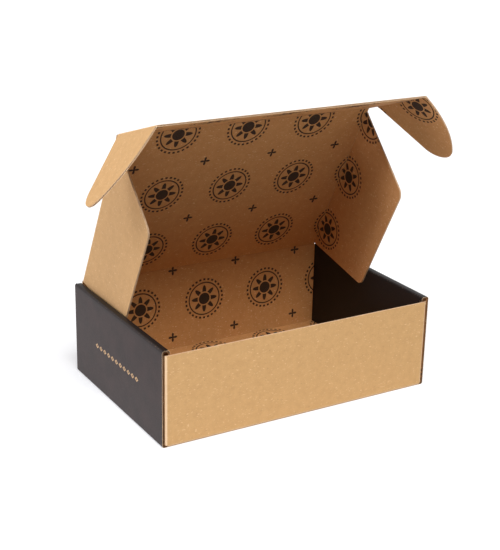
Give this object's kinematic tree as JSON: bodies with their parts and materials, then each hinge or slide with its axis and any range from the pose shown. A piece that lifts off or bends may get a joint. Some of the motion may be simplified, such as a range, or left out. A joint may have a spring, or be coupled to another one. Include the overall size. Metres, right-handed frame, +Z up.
{
  "type": "corrugated mailer box",
  "caption": "Shipping box folded from one sheet of thin corrugated board, with rolled side walls and a hinged lid that carries side wings, a tuck flap and locking ears.",
  "frame": {"origin": "centre of the underside of the tray", "axes": "+X across the front, to the right as seen from the front, -Y out of the front wall, +Z up"},
  "size_m": [0.3298, 0.166, 0.2484],
  "materials": {
    "board": "uncoated kraft with dark print on the side walls"
  },
  "bodies": {
    "tray": {"tray": "board"},
    "lid": {"lid": "board"},
    "wing_left": {"wing_left": "board"},
    "wing_right": {"wing_right": "board"},
    "tuck_flap": {"tuck_flap": "board"},
    "ear_left": {"ear_left": "board"},
    "ear_right": {"ear_right": "board"}
  },
  "joints": [
    {"name": "lid_hinge", "type": "hinge", "parent": "tray", "child": "lid", "pos_m": [0, 0.0823, 0.0798], "axis": [-1, 0, 0], "range_deg": [-62.5, 117.5]},
    {"name": "tuck_fold", "type": "hinge", "parent": "lid", "child": "tuck_flap", "pos_m": [0, 0.00701, 0.22443], "axis": [-1, 0, 0], "range_deg": [-45, 45]},
    {"name": "ear_left_fold", "type": "hinge", "parent": "tuck_flap", "child": "ear_left", "pos_m": [-0.12045, 0.00701, 0.22443], "axis": [0, 0.9537, -0.3007], "range_deg": [-41, 49]},
    {"name": "ear_right_fold", "type": "hinge", "parent": "tuck_flap", "child": "ear_right", "pos_m": [0.12045, 0.00701, 0.22443], "axis": [0, -0.9537, 0.3007], "range_deg": [-41, 49]},
    {"name": "wing_left_fold", "type": "hinge", "parent": "lid", "child": "wing_left", "pos_m": [-0.1166, 0.08168, 0.07948], "axis": [0, -0.4617, 0.887], "range_deg": [0, 80]},
    {"name": "wing_right_fold", "type": "hinge", "parent": "lid", "child": "wing_right", "pos_m": [0.1166, 0.08168, 0.07948], "axis": [0, 0.4617, -0.887], "range_deg": [0, 80]}
  ]
}
